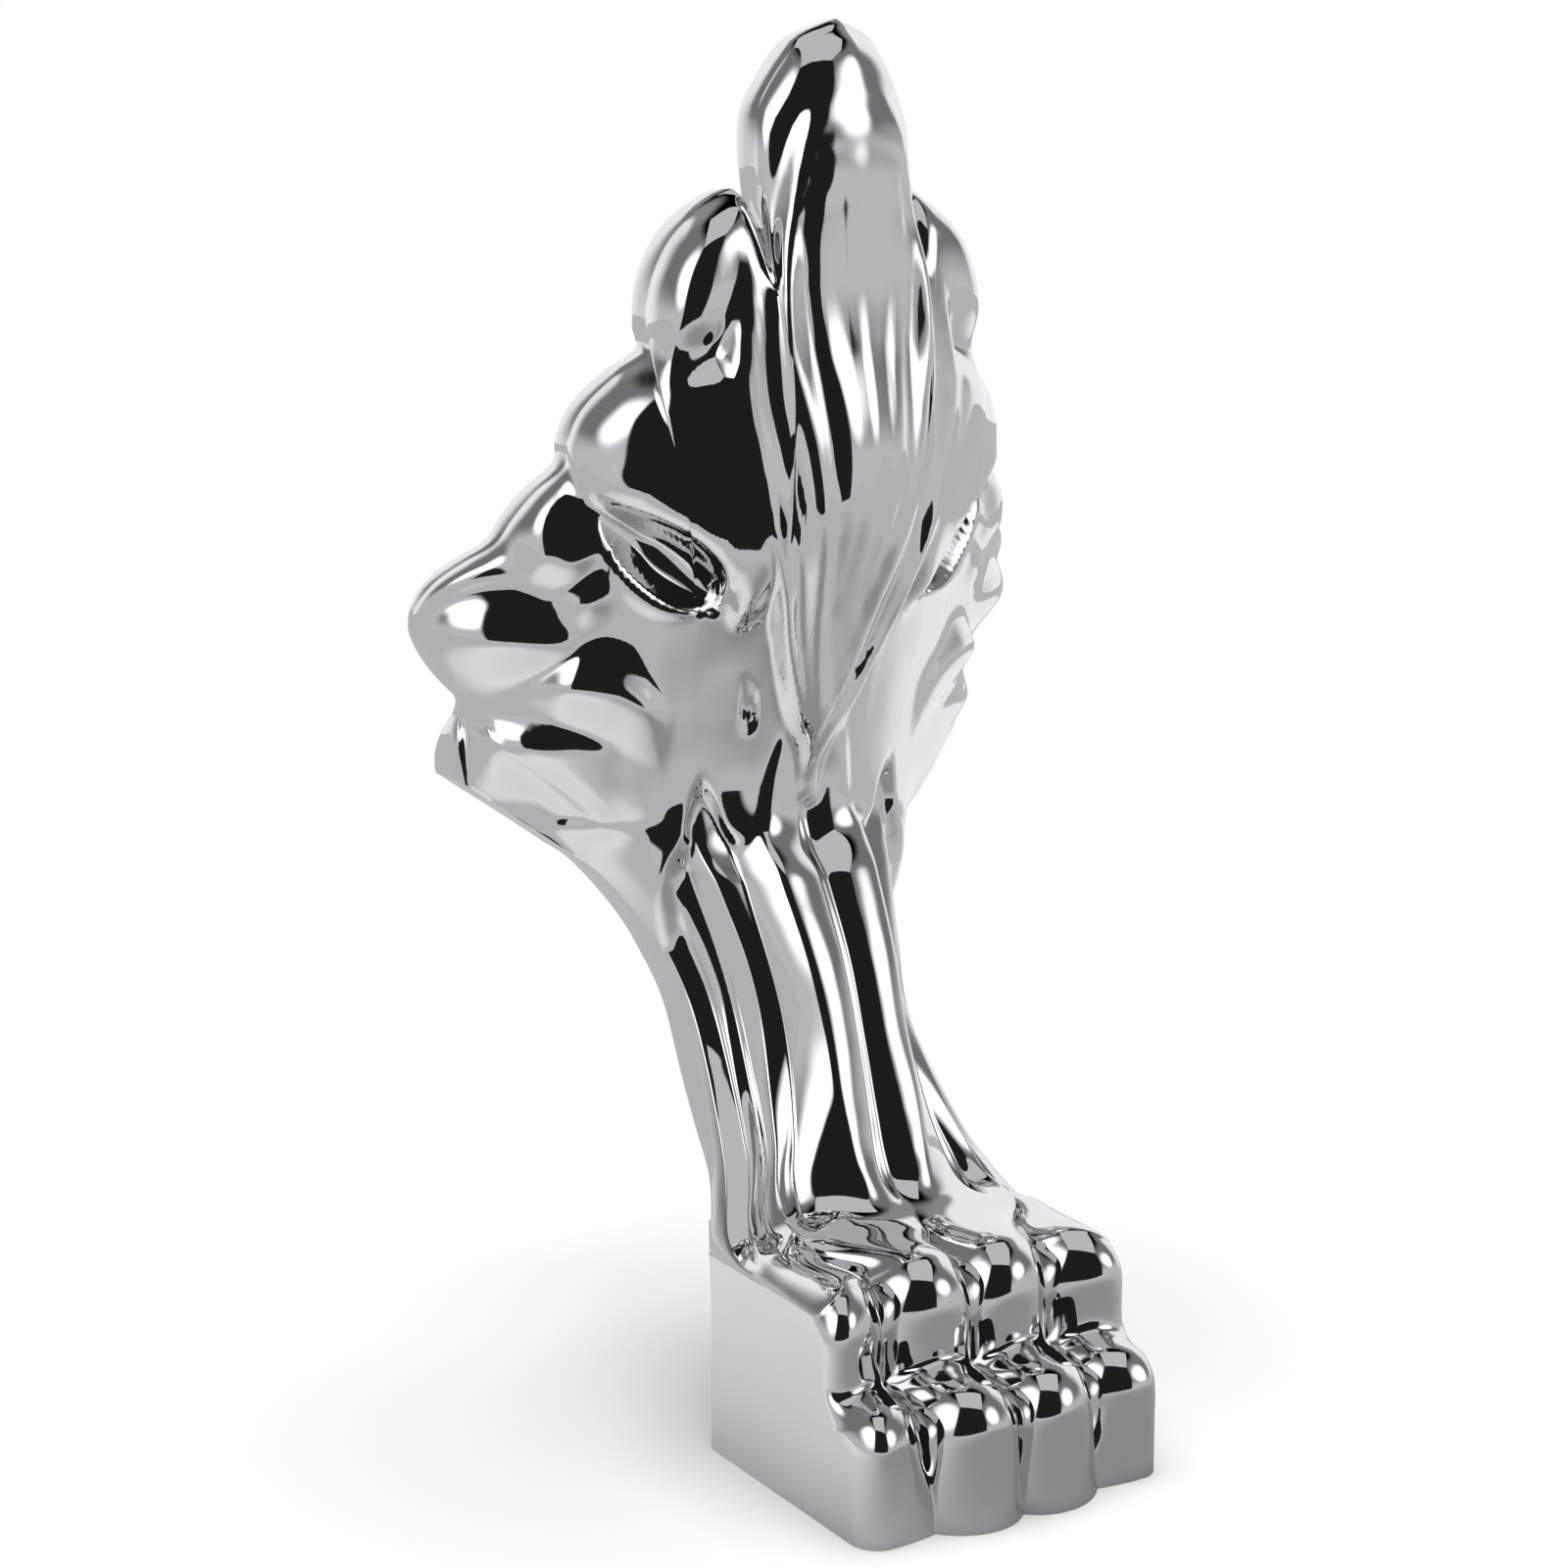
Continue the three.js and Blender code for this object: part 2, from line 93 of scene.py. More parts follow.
knuckle_drop = 5
knuckle_side_drop = 0.5
knuckle_round = 9

tip_z = 275.6
wing_half_width = 71.2
sweep_depth = 45
sweep_power = 1.73
belly_half_width = 48
rim_round = 8
rim_drop = 5

paw_back_y = 33
back_edge = 3

# Columns across the skin, and rows from each station up to the next
across_steps = 236
column_spread = 0.05
up_steps = (6, 6, 7, 7, 7, 8, 5, 7, 7, 7, 7, 9, 12, 12, 12, 12, 14, 18, 24, 40, 46, 55)


def smooth(value, low, high):
    f = np.clip((value - low) / (high - low), 0, 1)
    return f * f * (3 - 2 * f)


def mix(a, b, f):
    return a + (b - a) * f


def stops(pairs, place):
    """Values read off a list of (place, value) stops, eased between them."""
    xs = np.array([p[0] for p in pairs], float)
    ys = np.array([p[1] for p in pairs], float)
    before = np.concatenate([[0], np.arange(len(xs) - 1)])
    after = np.concatenate([np.arange(1, len(xs)), [len(xs) - 1]])
    slopes = (ys[after] - ys[before]) / (xs[after] - xs[before])
    at = np.clip(np.asarray(place, float), xs[0], xs[-1])
    i = np.clip(np.searchsorted(xs, at, side="left") - 1, 0, len(xs) - 2)
    span = xs[i + 1] - xs[i]
    f = (at - xs[i]) / span
    return (
        ys[i] * (2 * f**3 - 3 * f**2 + 1)
        + ys[i + 1] * (3 * f**2 - 2 * f**3)
        + span * (slopes[i] * (f**3 - 2 * f**2 + f) + slopes[i + 1] * (f**3 - f**2))
    )


def fallen(s, half_width, depth):
    """How far a round front falls back at a share across it: an arc with that depth."""
    radius = (half_width**2 + depth**2) / (2 * depth)
    return radius - np.sqrt(radius**2 - (half_width * s) ** 2)


def paw_stations(u):
    """Twelve places up over each toe and its knuckle, for each place across."""
    turn = np.clip((u - paw_edge_share) / (1 - paw_edge_share), 0, 1) * math.pi / 2
    straight = (paw_half_width - paw_edge) * np.minimum(u / paw_edge_share, 1)
    x = straight + paw_edge * np.sin(turn)
    back = 1 - np.cos(turn)
    inner = x < toe_cleft_x
    half = np.where(inner, toe_cleft_x, paw_half_width - toe_cleft_x) / 2
    s = np.where(inner, x / half, (x - toe_cleft_x) / half) - 1

    def front(crown, clefts, side_back):
        crown = np.where(inner, crown[0], crown[1])
        low = np.where(inner, clefts[0], clefts[1])
        high = np.where(inner, clefts[1], clefts[2])
        depth = np.maximum((low + high) / 2 - crown, least_bulge)
        return mix(low, high, (s + 1) / 2) - depth + fallen(s, half, depth) + side_back * back

    def dome(y, z, radius, angle):
        a = math.radians(angle)
        return (x, y + radius * (1 - math.cos(a)), z - radius * (1 - math.sin(a)))

    outer = smooth(u, paw_side_share, 1)
    foot = front(toe_crown_y, toe_cleft_y, toe_side_back)
    face = front(toe_crown_y, dome_cleft_y, toe_side_back)
    wall = front(knuckle_wall_y, knuckle_cleft_y, knuckle_side_back)
    top = np.where(inner, toe_top_z[0], toe_top_z[1]) - fallen(s, half, toe_drop)
    knuckle = np.where(inner, knuckle_top_z[0], knuckle_top_z[1])
    knuckle = knuckle - fallen(s, half, knuckle_drop) - knuckle_side_drop * outer
    crease = mix(top + crease_rise, side_crease_z, outer)
    toe_radius = mix(toe_round, side_round, outer)
    knuckle_radius = mix(knuckle_round, side_round, outer)
    return [
        (x, foot, 0),
        (x, mix(foot, face, 0.5), toe_band_z),
        dome(face, top, toe_radius, 0),
        dome(face, top, toe_radius, 30),
        dome(face, top, toe_radius, 60),
        dome(face, top, toe_radius, 90),
        (x, wall - crease_depth, crease),
        (x, wall, crease + crease_reach),
        dome(wall, knuckle, knuckle_radius, 0),
        dome(wall, knuckle, knuckle_radius, 30),
        dome(wall, knuckle, knuckle_radius, 60),
        dome(wall, knuckle + knuckle_lift, knuckle_radius, 90),
    ]


# Front line of the leg as (height, y), and its side line as (x, y, height), which
# goes on up the shield's lower edge
side_rise_power = 2.5
leg_front = [(48.8, 12), (56, 18.8), (66, 22.5), (80, 27), (95, 32.5), (110, 41), (123, 49.5)]
side_line = [
    (34.5, 14, 40.5), (33.5, 27, 44), (28, 37, 57), (24.5, 53, 79), (26.5, 61, 92),
    (31, 68, 102), (36.5, 73, 109.5), (42.5, 75, 114.5), (48.5, 77, 118.5), (54.5, 80, 122.5),
    (59.5, 84, 127.5),
]


def leg_station(u, index):
    z, y = leg_front[index]
    side_x, side_y, side_z = side_line[index]
    angle = u * math.pi / 2
    x = side_x * np.sin(angle)
    return (x, y + (side_y - y) * (1 - np.cos(angle)), mix(z, side_z, u**side_rise_power))


# Outline of the shield from its tip down to its hem, as (place across, x, height)
outline = [
    (0, 0, tip_z), (0.05, 8, 272), (0.09, 12.9, 265.5), (0.125, 16, 258.8), (0.165, 16.4, 250),
    (0.2, 15.9, 242.5), (0.225, 15.4, 236.5), (0.245, 17.4, 240), (0.27, 20.6, 244.3),
    (0.3, 26.3, 241.8), (0.335, 31.8, 236.5), (0.365, 35, 230), (0.395, 36.6, 223), (0.415, 36.9, 218),
    (0.43, 36.4, 214.5), (0.46, 41.9, 210), (0.49, 46.8, 204), (0.52, 49.2, 197.5), (0.54, 49.8, 192.8),
    (0.565, 54, 188), (0.59, 57.5, 182.5), (0.615, 60.2, 177.5), (0.65, 64.9, 173.4),
    (0.685, 69, 169), (0.71, wing_half_width, 164.5), (0.73, wing_half_width + 0.6, 160),
    (0.76, 70, 155), (0.79, 66.6, 149.5), (0.84, 62.6, 144.5), (0.92, 61, 136), (1, 59.5, 127.5),
]

# The shield's middle line seen from the side, as (height, y): it bellies forward
middle_line = [
    (118, 47.5), (132.6, 46.3), (147, 45), (166, 40.5), (176, 35.5), (188, 31), (200, 29.6),
    (214, 33.5), (231, 39.5), (250, 41.5), (262, 41.5), (tip_z, 40.5),
]

# The same seen away from the middle. The hem at the wings' foot leans back to the leg
shield_side_line = [(118, 44), (150, 41), (172, 36.5), (205, 35.5), (tip_z, 36.5)]
hem_lean = 9
hem_half_width = 60
hem_z = (132, 168)


def swept(x):
    return sweep_depth * (np.abs(x) / wing_half_width) ** sweep_power


def shield_front(x, z):
    belly = np.cos(np.clip(np.abs(x) / belly_half_width, 0, 1) * math.pi / 2) ** 2
    lean = hem_lean * (1 - smooth(z, *hem_z)) * (np.abs(x) / hem_half_width) ** 2
    return mix(stops(shield_side_line, z), stops(middle_line, z), belly) + swept(x) + lean


# From the leg's top each line bends out over the shield to the outline. How far out and
# how far up the bend lies, and the shares of the way at which it has a station
bend_out = (0.3, 0.5)
bend_up = (0.5, 0.62)
bend_shares = (0.22, 0.45, 0.7, 1)
wing_foot_share = 0.72


def shield_stations(u):
    start_x, _, start_z = leg_station(u, len(leg_front) - 1)
    end_x = stops([(o[0], o[1]) for o in outline], u)
    end_z = stops([(o[0], o[2]) for o in outline], u)
    bend_x = mix(start_x, end_x, mix(*bend_out, u))
    bend_z = mix(start_z, end_z, mix(*bend_up, np.sin(u * math.pi) ** 2))
    places = []
    for f, (_, side_y, _) in zip(bend_shares, side_line[len(leg_front):]):
        x = (1 - f) ** 2 * start_x + 2 * f * (1 - f) * bend_x + f * f * end_x
        z = (1 - f) ** 2 * start_z + 2 * f * (1 - f) * bend_z + f * f * end_z
        places.append((x, mix(shield_front(x, z), side_y, smooth(u, wing_foot_share, 1)), z))
    return places


def lofted(points, rows):
    """Points on the smooth lines through each column's stations, at each row."""
    points = np.concatenate([[2 * points[0] - points[1]], points, [2 * points[-1] - points[-2]]])
    i = np.clip(rows.astype(int), 0, len(points) - 4)
    f = (rows - i)[:, None, None]
    a, b, c, d = (points[i + k] for k in range(4))
    bend = (2 * a - 5 * b + 4 * c - d) * f**2 + (3 * b - a - 3 * c + d) * f**3
    return 0.5 * (2 * b + (c - a) * f + bend)


# The columns lie closest halfway out on each side, where the carving is finest
even = np.linspace(-1, 1, across_steps + 1)
across = even + column_spread * np.sin(2 * math.pi * even)
rows = np.concatenate([k + np.arange(n) / n for k, n in enumerate(up_steps)] + [[len(up_steps)]])
u = np.abs(across)
stations = paw_stations(u)
paw_rows = len(stations)
stations += [leg_station(u, k) for k in range(len(leg_front))] + shield_stations(u)
stations = np.array([np.stack(np.broadcast_arrays(*p), -1) for p in stations])
stations[..., 0] *= np.sign(across)
skin = lofted(stations, rows)

# Middle leaf: the outer line of each of its strands as (height, place across), from the
# middle out to the leaf's edge. It stands over the lobes and bulges towards its tip
leaf_lines = [
    [(134, 0.2), (160, 1.2), (176, 2), (188, 2.5), (206, 3), (224, 4.5), (240, 4.6), (256, 2.5), (264, 1)],
    [(134, 0.6), (160, 3), (176, 5), (188, 6.5), (206, 8.3), (224, 10), (240, 9.5), (256, 6), (264, 3)],
    [(134, 1.2), (160, 7), (176, 10.5), (188, 13), (206, 15.2), (224, 16), (240, 13.5), (256, 10), (264, 6)],
    [(134, 2), (142, 6), (160, 12), (176, 16.3), (190, 20.8), (200, 23.2), (206, 24), (212, 24),
     (220.5, 23.2), (226, 22.4), (232, 21.6), (244, 20.3), (264, 20)],
]
leaf_raise = 3.4
leaf_edge = 1
leaf_seam = 1.6
leaf_bulge = [(170, 0), (200, 0.8), (215, 2), (235, 5), (255, 5.5), (268, 3.5), (tip_z, 0)]
strand_heights = (2.2, 2.6, 3.2, 4.4)
strands_start = (132, 146)
strands_end = (252, 266)
strand_power = 0.8
edge_strand_power = 1.3

# Domed lobes beside the leaf: each one's closed line as (x, height, reach of the round
# edge from there to the next point), and how far the lobe stands out
domes = [
    ([(19.5, 245, 9), (15, 237, 9), (16.6, 231, 9), (17.8, 226, 9), (20.2, 220.5, 9), (24.3, 215.5, 9),
      (29, 213, 9), (33, 211.5, 9), (36.6, 214.4, 9), (38, 219, 9), (37.5, 226, 9), (34, 235, 9),
      (27.5, 243, 9)], 7.5),
    ([(36.6, 214.4, 8), (29, 213.4, 8), (24.5, 214.5, 6), (21.6, 212, 1.5), (21.5, 206, 1.5),
      (20.2, 200, 1.5), (18, 192, 1.5), (15.7, 182, 1.5), (13.7, 170, 1.5), (18.5, 160, 1.2),
      (22, 168, 1.2), (25.5, 175, 1.2), (31, 180, 1.2), (38, 184, 1.2), (45, 187, 1.2), (47, 186.6, 5),
      (50.2, 191.5, 14), (51.5, 198.5, 14), (47, 206, 14), (41, 211.5, 14)], 6.5),
    ([(50.2, 191.5, 8), (47.8, 186.6, 8), (46, 182, 8), (44.6, 178, 4), (44.1, 171.5, 3), (49.1, 170.6, 3),
      (53.4, 171.5, 3), (56, 174.5, 4), (58.8, 176.8, 10), (60, 180, 10), (56, 187, 10)], 5),
    ([(58.8, 176.2, 5), (56.5, 173.5, 5), (53.4, 170.6, 5), (57.3, 168.8, 5), (60, 168.4, 5), (64, 166, 5),
      (66.4, 163.5, 5), (69.8, 161.5, 5), (72, 166, 5), (66, 174, 5)], 2.6),
]

# A thin raised brow over the eye, as (x, height)
brow = [(24, 179.5), (33, 185), (43, 190.7)]
brow_height = 1.2
brow_half_width = 1.6

# Folds of the wing: each steps out from its upper line (x, height) to its lower line, and
# falls back below that over a length, with the slope of its step
folds = [
    ([(41, 164.8), (42.8, 167.7), (44, 170.6), (50, 170.1)],
     [(41, 164.8), (44.8, 166.1), (47.8, 168.1), (50, 170.1)], 5, 0.55),
    ([(44, 158.3), (50, 161.6), (53.1, 164.2), (57, 166.6), (61.6, 166.6), (65.9, 164.4), (70, 160.5)],
     [(44, 158), (51, 157.6), (57.7, 158), (61.4, 158.3), (65.4, 158.6), (70, 160.3)], 11, 0.6),
    ([(28.7, 142.1), (31.9, 147.7), (35.3, 152.2), (39.3, 156.4), (43.1, 157.6), (46.1, 157),
      (49, 153.5), (56, 148.4), (60, 146)],
     [(28.7, 142), (34.1, 145.6), (38.3, 148), (44.8, 149.1), (51.5, 148.4), (56.7, 146.6),
      (60, 145.8)], 12, 0.62),
    ([(37, 136.1), (42.9, 139.8), (45.9, 141.4), (50, 142.2), (53.3, 142.3), (56.9, 141.4), (59, 139.6)],
     [(37, 136), (42.7, 137), (45.9, 137), (49.7, 136.8), (52.7, 136.7), (54.9, 136.8),
      (59, 138.4)], 12, 0.85),
]

# The leg's tendons: each has a front and a flat flank, and meets the next in a groove.
# The front's outer edge as (row, place across) and its height, then the groove beyond it
# and its depth. Rows here count ten at the knuckles' top and sixteen where the leg ends
leg_row = 10
tendons = [
    ([(10, 0.12), (10.8, 0.14), (12.5, 0.223), (14, 0.233), (16, 0.2), (16.4, 0.15)], 1.1,
     [(10, 0.4), (10.8, 0.41), (12.5, 0.46), (14, 0.44), (16, 0.304), (16.4, 0.26)], 4.2),
    ([(10, 0.5), (10.8, 0.51), (12.5, 0.59), (14, 0.547), (16, 0.453), (16.4, 0.42)], -2.6,
     [(10, 0.66), (10.8, 0.67), (12.5, 0.79), (14, 0.74), (16, 0.56), (16.4, 0.5)], 5),
    ([(10, 0.78), (12.5, 0.87), (14, 0.83), (15, 0.74), (16, 0.66)], -3.4,
     [(10, 0.88), (12.5, 0.93), (14, 0.9), (15, 0.82), (16, 0.74)], 3.8),
]
tendon_middle_depth = 2.6
tendon_start = (9.9, 10.8)
low_depth = 1.25
low_rows = (11.5, 13.5)
middle_front_power = 2
front_power = 1.2

# Hem of the shield over the leg, as (place across, row), and how sharply it ends there
hem_line = [
    (0, 16.3), (0.05, 16.3), (0.1, 16.5), (0.15, 16.3), (0.19, 15.85), (0.25, 15.7), (0.32, 15.75),
    (0.36, 16.1), (0.41, 16.25), (0.46, 16.05), (0.51, 15.75), (0.7, 15.2), (0.85, 14.6), (1, 14),
]
hem_below = 0.1
hem_above = 0.12

# The shield's relief starts here, and its round rim fades out towards the wing's foot
shield_row = 16
shield_low_z = 120
shield_blend = (15.8, 16.6)
rim_end = (0.84, 0.95)
border_share = 0.97


def is_shield(row, z):
    return (row > shield_row) & (z > shield_low_z)


def closed_share(x, z, line):
    """How far inside a closed line each place lies, in shares of its edges' reach."""
    nearest = np.full(np.shape(x), 1e3)
    within = np.zeros(np.shape(x), bool)
    for (ax, az, reach), (bx, bz, _) in zip(line, line[1:] + line[:1]):
        dx, dz = bx - ax, bz - az
        f = np.clip(((x - ax) * dx + (z - az) * dz) / (dx * dx + dz * dz), 0, 1)
        nearest = np.minimum(nearest, np.hypot(x - ax - f * dx, z - az - f * dz) / reach)
        if dz != 0:
            within ^= ((az > z) != (bz > z)) & (x < ax + (z - az) * dx / dz)
    return np.where(within, nearest, 0)


def outline_share(x, z):
    """How far inside the shield's outline each place lies; the middle is no edge."""
    t = np.linspace(0, 1, 160)
    xs = stops([(o[0], o[1]) for o in outline], t)
    zs = stops([(o[0], o[2]) for o in outline], t)
    line = list(zip(xs, zs)) + [(0, 100), (-60, 100), (-60, 400), (0, 400)]
    return closed_share(x, z, [(line_x, line_z, rim_round) for line_x, line_z in line])


def leaf_height(x, z):
    """The middle leaf stands out over the lobes, in strands with grooves between them."""
    strands = 0 * x
    inner = -stops(leaf_lines[0], z)
    last = len(leaf_lines) - 1
    for number, line in enumerate(leaf_lines):
        outer = stops(line, z)
        s = (x - inner) / np.maximum(outer - inner, 0.5)
        strand = np.sin(math.pi * np.clip(s, 0, 1)) ** strand_power
        if number == last:
            strand = np.clip(s, 0, 1.2) ** edge_strand_power
        here = (s >= 0) & ((s < 1) | (number == last))
        strands = np.where(here, strand_heights[number] * strand, strands)
        inner = outer
    strands = strands * smooth(z, *strands_start) * (1 - smooth(z, *strands_end))
    bulge = stops(leaf_bulge, z) * (1 - smooth(x, 0, outer))
    return (leaf_raise + bulge + strands) * (1 - smooth(x, outer - leaf_edge, outer + leaf_edge))


def fold_height(x, z):
    height = 0 * x
    for upper, lower, fall, slope in folds:
        high, low = stops(upper, x), stops(lower, x)
        rise = slope * np.maximum(high - low, 0)
        up = rise * np.clip((high - z) / np.maximum(high - low, 0.3), 0, 1)
        down = rise * (1 - np.clip((low - z) / fall, 0, 1))
        within = (x > upper[0][0]) & (x < upper[-1][0])
        height = np.maximum(height, np.where(within, np.where(z > low, up, down), 0))
    return height


# The eye: a hollow like a drop with a thin raised rim. It runs from its point by the
# brow, as (x, height), down to its round end
eye_point = (46.6, 187)
eye_end = (24.6, 166)
eye_half_width = 5.6
eye_depth = 5
eye_power = 0.8
eye_rim = 1.2
eye_rim_share = 1.25
eye_rim_width = 0.55
drop_scale = 2.6


def eye(x, z):
    """Height of the eye; its width goes as a drop's, which the scale makes one at most."""
    length = math.dist(eye_point, eye_end)
    ax = (eye_end[0] - eye_point[0]) / length
    az = (eye_end[1] - eye_point[1]) / length
    a = ((x - eye_point[0]) * ax + (z - eye_point[1]) * az) / length
    b = np.abs((x - eye_point[0]) * az - (z - eye_point[1]) * ax)
    inside = np.clip(a, 0.01, 0.995)
    wide = eye_half_width * drop_scale * inside * np.sqrt(1 - inside)
    s = b / np.maximum(wide, 0.4) + np.maximum(a - 1, 0) * 8
    hollow = -eye_depth * np.clip(1 - s * s, 0, 1) ** eye_power * smooth(a, 0, 0.5)
    rim = np.clip(1 - ((s - eye_rim_share) / eye_rim_width) ** 2, 0, 1) ** 2
    rim = eye_rim * rim * smooth(a, 0, 0.3)
    return np.where((a > -0.08) & (a < 1.1), np.where(s < 1, hollow, rim), 0)


# Tool marks in the leaf's foot: two rows of short cuts side by side, each from its upper
# end to its lower end as (x, height)
tool_marks = [
    ((-16.3, 151), (-15.6, 139.5)), ((-15.2, 150), (-14.3, 138.5)), ((-14, 148.5), (-13.2, 139.5)),
    ((7.3, 157.5), (0.2, 138)), ((6.2, 156.5), (-0.6, 136)), ((5.2, 153), (-1.4, 134.5)),
]
mark_depth = 1.5
mark_half_width = 0.9


def marks(x, z):
    height = 0 * x
    for (ax, az), (bx, bz) in tool_marks:
        dx, dz = bx - ax, bz - az
        f = np.clip(((x - ax) * dx + (z - az) * dz) / (dx * dx + dz * dz), 0, 1)
        off = np.hypot(x - ax - f * dx, z - az - f * dz) / mark_half_width
        height = np.minimum(height, -mark_depth * np.clip(1 - off, 0, 1) * np.sin(math.pi * f))
    return height


def tendon_height(row, place):
    """Height of the leg's tendons and of the grooves between them."""
    height = 0 * place * row
    inner, inner_depth = 0 * row, tendon_middle_depth
    for number, (edge, rise, groove, depth) in enumerate(tendons):
        edge, groove = stops(edge, row), stops(groove, row)
        depth = depth * mix(low_depth, 1, smooth(row, *low_rows))
        front = np.clip((edge - place) / np.maximum(edge - inner, 1e-3), 0, 1)
        flank = np.clip((place - edge) / np.maximum(groove - edge, 1e-3), 0, 1)
        front = front ** (middle_front_power if number == 0 else front_power)
        here = (place >= inner) & (place < groove)
        ridge = mix(mix(rise, -inner_depth, front), -depth, flank)
        height = np.where(here, ridge, height)
        inner, inner_depth = groove, depth
    beyond = np.clip((place - inner) / (1 - inner), 0, 1)
    return np.where(place >= inner, -inner_depth * (1 - beyond), height)


def tendons_and_eye(place, row, x, z):
    """Height of the tendons, which end under the shield's hem, and of the eye."""
    hem = stops(hem_line, place)
    under = (1 - smooth(row, hem - hem_below, hem + hem_above)) * smooth(row, *tendon_start)
    return under * tendon_height(row, place) + np.where(is_shield(row, z), eye(x, z), 0)


def dome_height(x, z):
    """Height of the domed lobes, rounded down at their edges."""
    height = 0 * x
    for line, stand in domes:
        t = np.clip(closed_share(x, z, line), 0, 1)
        height = height + stand * (1 - (1 - t) ** 2)
    return height


def folds_and_rim(place, row, x, z):
    """Height of the wing's folds and the brow, less the fall of the shield's round rim."""
    off_brow = np.clip(np.abs(z - stops(brow, x)) / brow_half_width, 0, 1)
    on_brow = smooth(x, brow[0][0], brow[1][0]) * (1 - smooth(x, brow[-1][0] - 1, brow[-1][0]))
    height = fold_height(x, z) + brow_height * (1 - off_brow) * on_brow
    rim = np.clip(outline_share(x, z), 0, 1)
    rim = rim_drop * (1 - np.sqrt(1 - (1 - rim) ** 2)) * (1 - smooth(place, *rim_end))
    return np.where(is_shield(row, z), height - rim, 0)


def softened(height, passes):
    """The same height with its edges and creases rounded, more so with more passes."""
    for axis in (0, 1) * passes:
        last = height.shape[axis] - 1
        at = np.arange(last + 1)
        before = np.take(height, np.maximum(at - 1, 0), axis)
        after = np.take(height, np.minimum(at + 1, last), axis)
        height = mix(height, (before + after) / 2, 0.5)
    return height


def normals(points):
    up, side = np.gradient(points, axis=(0, 1))
    n = np.cross(side, up)
    return n / np.maximum(np.linalg.norm(n, axis=-1, keepdims=True), 1e-9)


# The relief: finer carving is softened less, and the leaf meets the lobes in a round
# seam. All but the tool marks fades out at the skin's border
skin_x, skin_z = skin[..., 0], skin[..., 2]
carve_row = rows[:, None] - paw_rows + leg_row
on_skin = (u[None, :], carve_row, np.abs(skin_x), skin_z)
on_shield = is_shield(carve_row, skin_z)
leaf = softened(np.where(on_shield, leaf_height(np.abs(skin_x), skin_z), 0), 2)
domed = softened(np.where(on_shield, dome_height(np.abs(skin_x), skin_z), 0), 7)
leaf_and_domes = (leaf + domed + np.hypot(leaf - domed, leaf_seam) - leaf_seam) / 2
relief = softened(tendons_and_eye(*on_skin), 2) + softened(folds_and_rim(*on_skin), 7)
relief = relief + softened(leaf_and_domes, 1)
relief = relief * (1 - smooth(u, border_share, 1))[None, :] + marks(skin_x, skin_z)

# It stands out square to the skin on the paw and the leg, and square to the plain sweep
# of the wings on the shield
share = np.abs(skin_x) / wing_half_width
sweep_slope = sweep_depth * sweep_power / wing_half_width * share ** (sweep_power - 1)
forward = np.stack([np.sign(skin_x) * sweep_slope, 0 * share - 1, 0 * share], -1)
forward = forward / np.linalg.norm(forward, axis=-1, keepdims=True)
shield_share = smooth(carve_row, *shield_blend)[..., None]
skin = skin + mix(normals(skin), forward, shield_share) * relief[..., None]

# The plain back, as (height, y): flat down the leg, hollowed behind the shield to clear
# the tub
back_line = [
    (-10, paw_back_y), (36, paw_back_y), (44, 35), (52, 41.5), (60, 51), (70, 60.5), (82, 69),
    (95, 77.5), (108, 83), (120, 77), (135, 66), (150, 57), (165, 52), (185, 50), (205, 48.5),
    (230, 48.5), (300, 48.5),
]
back_sweep = 0.9
back_sweep_z = (96, 132)


def back_at(x, z):
    return stops(back_line, z) + back_sweep * swept(x) * smooth(z, *back_sweep_z)


def inward_at(points):
    """Which way is into the outline, seen from behind, at each point of a closed ring."""
    flat = points[:, [0, 2]]
    tangent = np.roll(flat, -3, axis=0) - np.roll(flat, 3, axis=0)
    inward = np.stack([-tangent[:, 1], tangent[:, 0]], -1)
    inward = inward / np.maximum(np.linalg.norm(inward, axis=-1, keepdims=True), 1e-9)
    weights = np.array([1, 2, 3, 2, 1]) / 9
    return sum(w * np.roll(inward, k - 2, axis=0) for k, w in enumerate(weights))


# The skin's border runs along the sole, up one side, over the tip and down the other side
last_column = across_steps
last_row = len(rows) - 1
ring = (
    [(c, 0) for c in range(last_column)]
    + [(last_column, r) for r in range(last_row)]
    + [(c, last_row) for c in range(last_column, 0, -1)]
    + [(0, r) for r in range(last_row, 0, -1)]
)
ring_points = np.array([skin[r, c] for c, r in ring])
inward = inward_at(ring_points)

# The paw's sides and sole are straight, and turn in squarely at their corners
straight_z = 46
on_paw = np.abs(ring_points[:, 2]) < straight_z
ring_x, ring_z = ring_points[on_paw, 0], ring_points[on_paw, 2]
to_side = paw_half_width - np.abs(ring_x)
inward[on_paw, 0] = -np.sign(ring_x) * np.clip(1 - to_side / back_edge, 0, 1)
inward[on_paw, 1] = np.clip(1 - ring_z / back_edge, 0, 1)


def behind(depth, inset):
    """Ring points on the casting's back, raised by a depth and drawn in by an inset."""
    x = ring_points[:, 0] + inward[:, 0] * inset
    z = ring_points[:, 2] + inward[:, 1] * inset
    return np.stack([x, np.maximum(back_at(x, z) - depth, ring_points[:, 1]), z], -1)


bm = bmesh.new()
column_layer = bm.verts.layers.int.new("column")
row_layer = bm.verts.layers.int.new("row")
for v in bmesh.ops.create_grid(bm, x_segments=last_column, y_segments=last_row, size=1)["verts"]:
    v[column_layer] = round((v.co.x + 1) / 2 * last_column)
    v[row_layer] = round((v.co.y + 1) / 2 * last_row)
    v.co = skin[v[row_layer], v[column_layer]] * MM

